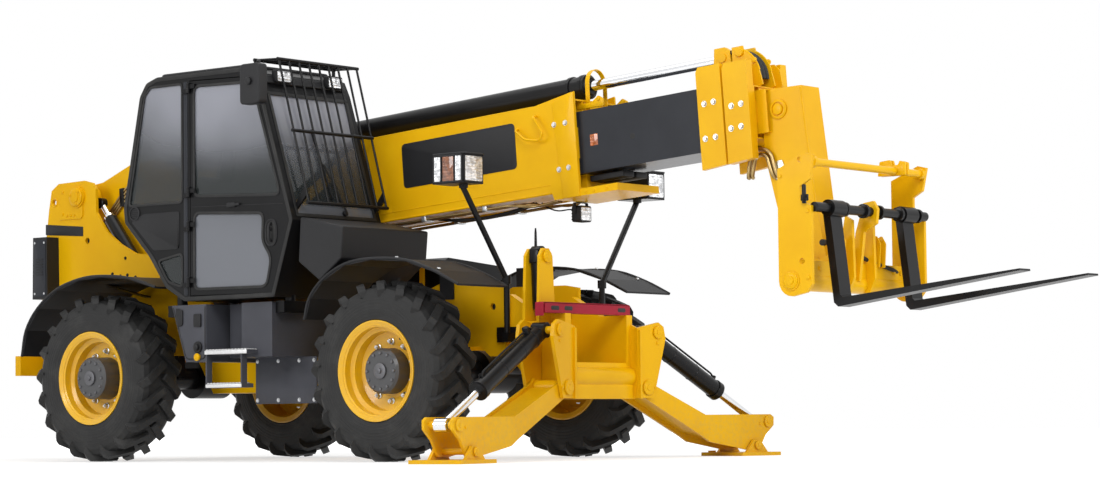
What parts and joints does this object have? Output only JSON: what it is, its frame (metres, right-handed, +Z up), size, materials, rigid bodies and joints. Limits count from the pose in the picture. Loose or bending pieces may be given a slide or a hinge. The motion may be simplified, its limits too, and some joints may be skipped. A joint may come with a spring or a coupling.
{
  "type": "telehandler",
  "caption": "Telescopic handler with a side cab, multi-stage boom, fork carriage, four-wheel steering and front stabilisers.",
  "frame": {"origin": "on the ground under the middle of the machine's bounding box", "axes": "+X forward along the boom, +Y towards the engine side, +Z up"},
  "size_m": [8.7052, 3.537, 2.757],
  "materials": {
    "yellow_paint": "gloss",
    "black_paint": "satin",
    "black_plastic": "matt",
    "grey_paint": "satin",
    "slate_paint": "satin",
    "red_paint": "satin",
    "tinted_glass": "clear",
    "seat_fabric": "woven",
    "engine_iron": "rough",
    "rod_chrome": "polished",
    "tyre": "matt"
  },
  "bodies": {
    "machine": {"chassis": "yellow_paint", "rails": "yellow_paint", "rear_plates": "yellow_paint", "rear_lamps": "black_plastic", "axles": "black_paint", "fenders": "black_plastic", "fairing": "black_plastic", "tank_steps": "grey_paint", "cab_shell": "black_paint", "cab_glass": "tinted_glass", "seat": "seat_fabric", "steering_column": "black_plastic", "screen_guard": "black_paint", "lamp_posts": "black_paint", "engine_pod": "yellow_paint", "engine_block": "engine_iron", "stabiliser_frame": "yellow_paint", "safety_strut": "red_paint"},
    "door": {"cab_door": "black_paint", "door_glass": "tinted_glass"},
    "lid": {"engine_lid": "black_paint"},
    "boom": {"boom_outer": "yellow_paint", "ext_barrel": "black_paint"},
    "boom_two": {"boom_second": "slate_paint", "ext_rod": "rod_chrome"},
    "boom_three": {"boom_third": "slate_paint"},
    "boom_four": {"boom_nose": "yellow_paint"},
    "head": {"carriage": "yellow_paint", "carriage_plates": "yellow_paint", "forks": "black_paint"},
    "lift_cylinder": {"lift_barrel": "black_paint"},
    "lift_piston": {"lift_rod": "rod_chrome"},
    "hub_fl": {"knuckle_fl": "black_paint"},
    "wheel_fl": {"tyre_fl": "tyre", "rim_fl": "yellow_paint"},
    "hub_fr": {"knuckle_fr": "black_paint"},
    "wheel_fr": {"tyre_fr": "tyre", "rim_fr": "yellow_paint"},
    "hub_rl": {"knuckle_rl": "black_paint"},
    "wheel_rl": {"tyre_rl": "tyre", "rim_rl": "yellow_paint"},
    "hub_rr": {"knuckle_rr": "black_paint"},
    "wheel_rr": {"tyre_rr": "tyre", "rim_rr": "yellow_paint"},
    "leg_left_body": {"leg_left": "yellow_paint"},
    "foot_left_body": {"foot_left": "yellow_paint"},
    "leg_cylinder_left": {"leg_barrel_left": "black_paint"},
    "leg_piston_left": {"leg_rod_left": "rod_chrome"},
    "leg_right_body": {"leg_right": "yellow_paint"},
    "foot_right_body": {"foot_right": "yellow_paint"},
    "leg_cylinder_right": {"leg_barrel_right": "black_paint"},
    "leg_piston_right": {"leg_rod_right": "rod_chrome"}
  },
  "joints": [
    {"name": "steer_fl", "type": "hinge", "parent": "machine", "child": "hub_fl", "pos_m": [-0.055, 0.8, 0.595], "axis": [0, 0, 1], "range_deg": [-35, 35]},
    {"name": "spin_fl", "type": "hinge", "parent": "hub_fl", "child": "wheel_fl", "pos_m": [-0.055, 0.974, 0.595], "axis": [0, 1, 0], "continuous": true},
    {"name": "steer_fr", "type": "hinge", "parent": "machine", "child": "hub_fr", "pos_m": [-0.055, -0.8, 0.595], "axis": [0, 0, 1], "range_deg": [-35, 35]},
    {"name": "spin_fr", "type": "hinge", "parent": "hub_fr", "child": "wheel_fr", "pos_m": [-0.055, -0.974, 0.595], "axis": [0, 1, 0], "continuous": true},
    {"name": "steer_rl", "type": "hinge", "parent": "machine", "child": "hub_rl", "pos_m": [-2.805, 0.8, 0.595], "axis": [0, 0, 1], "range_deg": [-35, 35]},
    {"name": "spin_rl", "type": "hinge", "parent": "hub_rl", "child": "wheel_rl", "pos_m": [-2.805, 0.974, 0.595], "axis": [0, 1, 0], "continuous": true},
    {"name": "steer_rr", "type": "hinge", "parent": "machine", "child": "hub_rr", "pos_m": [-2.805, -0.8, 0.595], "axis": [0, 0, 1], "range_deg": [-35, 35]},
    {"name": "spin_rr", "type": "hinge", "parent": "hub_rr", "child": "wheel_rr", "pos_m": [-2.805, -0.974, 0.595], "axis": [0, 1, 0], "continuous": true},
    {"name": "door_swing", "type": "hinge", "parent": "machine", "child": "door", "pos_m": [-1.801, -1.146, 1.9], "axis": [0, 0, -1], "range_deg": [0, 95]},
    {"name": "lid_swing", "type": "hinge", "parent": "machine", "child": "lid", "pos_m": [-1.43, 0.394, 1.4], "axis": [1, 0, 0], "range_deg": [0, 70]},
    {"name": "boom_lift", "type": "hinge", "parent": "machine", "child": "boom", "pos_m": [-3.779, 0, 1.986], "axis": [0, -1, 0], "range_deg": [-7.2, 65.8]},
    {"name": "boom_extend", "type": "slide", "parent": "boom", "child": "boom_two", "axis": [0.9973, 0, 0.0732], "range_m": [0, 3.1]},
    {"name": "boom_extend_three", "type": "slide", "parent": "boom_two", "child": "boom_three", "axis": [0.9973, 0, 0.0732], "range_m": [0, 3.1]},
    {"name": "boom_extend_four", "type": "slide", "parent": "boom_three", "child": "boom_four", "axis": [0.9973, 0, 0.0732], "range_m": [0, 3.1]},
    {"name": "carriage_tilt", "type": "hinge", "parent": "boom_four", "child": "head", "pos_m": [2.695, 0, 1.16], "axis": [0, -1, 0], "range_deg": [-75, 18]},
    {"name": "lift_ram_swing", "type": "hinge", "parent": "machine", "child": "lift_cylinder", "pos_m": [-3.46, 0, 0.829], "axis": [0, -1, 0], "range_deg": [-6.26, 53.14]},
    {"name": "lift_ram_stroke", "type": "slide", "parent": "lift_cylinder", "child": "lift_piston", "axis": [0.9485, 0, 0.3168], "range_m": [-0.1369, 1.2108]},
    {"name": "leg_left_swing", "type": "hinge", "parent": "machine", "child": "leg_left_body", "pos_m": [0.835, 0.447, 0.474], "axis": [0.9925, -0.1219, 0], "range_deg": [0, 60]},
    {"name": "foot_left_swing", "type": "hinge", "parent": "leg_left_body", "child": "foot_left_body", "pos_m": [0.96845, 1.53384, 0.074], "axis": [0.9925, -0.1219, 0], "range_deg": [-8, 12]},
    {"name": "leg_ram_left_swing", "type": "hinge", "parent": "machine", "child": "leg_cylinder_left", "pos_m": [0.84694, 0.54427, 0.846], "axis": [0.9925, -0.1219, 0], "range_deg": [0, 65.3]},
    {"name": "leg_ram_left_stroke", "type": "slide", "parent": "leg_cylinder_left", "child": "leg_piston_left", "axis": [0.1075, 0.8756, -0.4709], "range_m": [-0.3925, 0]},
    {"name": "leg_right_swing", "type": "hinge", "parent": "machine", "child": "leg_right_body", "pos_m": [0.835, -0.447, 0.474], "axis": [-0.9925, -0.1219, 0], "range_deg": [0, 60]},
    {"name": "foot_right_swing", "type": "hinge", "parent": "leg_right_body", "child": "foot_right_body", "pos_m": [0.96845, -1.53384, 0.074], "axis": [-0.9925, -0.1219, 0], "range_deg": [-8, 12]},
    {"name": "leg_ram_right_swing", "type": "hinge", "parent": "machine", "child": "leg_cylinder_right", "pos_m": [0.84694, -0.54427, 0.846], "axis": [-0.9925, -0.1219, 0], "range_deg": [0, 65.3]},
    {"name": "leg_ram_right_stroke", "type": "slide", "parent": "leg_cylinder_right", "child": "leg_piston_right", "axis": [0.1075, -0.8756, -0.4709], "range_m": [-0.3925, 0]}
  ],
  "couplings": [
    {"joint": "steer_fr", "follows": "steer_fl", "ratio": 1},
    {"joint": "steer_rl", "follows": "steer_fl", "ratio": -1},
    {"joint": "steer_rr", "follows": "steer_fl", "ratio": -1},
    {"joint": "boom_extend_three", "follows": "boom_extend", "ratio": 1},
    {"joint": "boom_extend_four", "follows": "boom_extend", "ratio": 1},
    {"joint": "lift_ram_swing", "follows": "boom_lift", "ratio": 0.8},
    {"joint": "lift_ram_stroke", "follows": "boom_lift", "m_per_rad": 1.05},
    {"joint": "leg_ram_left_swing", "follows": "leg_left_swing", "ratio": 1.08},
    {"joint": "leg_ram_left_stroke", "follows": "leg_left_swing", "m_per_rad": -0.37},
    {"joint": "leg_ram_right_swing", "follows": "leg_right_swing", "ratio": 1.08},
    {"joint": "leg_ram_right_stroke", "follows": "leg_right_swing", "m_per_rad": -0.37}
  ]
}
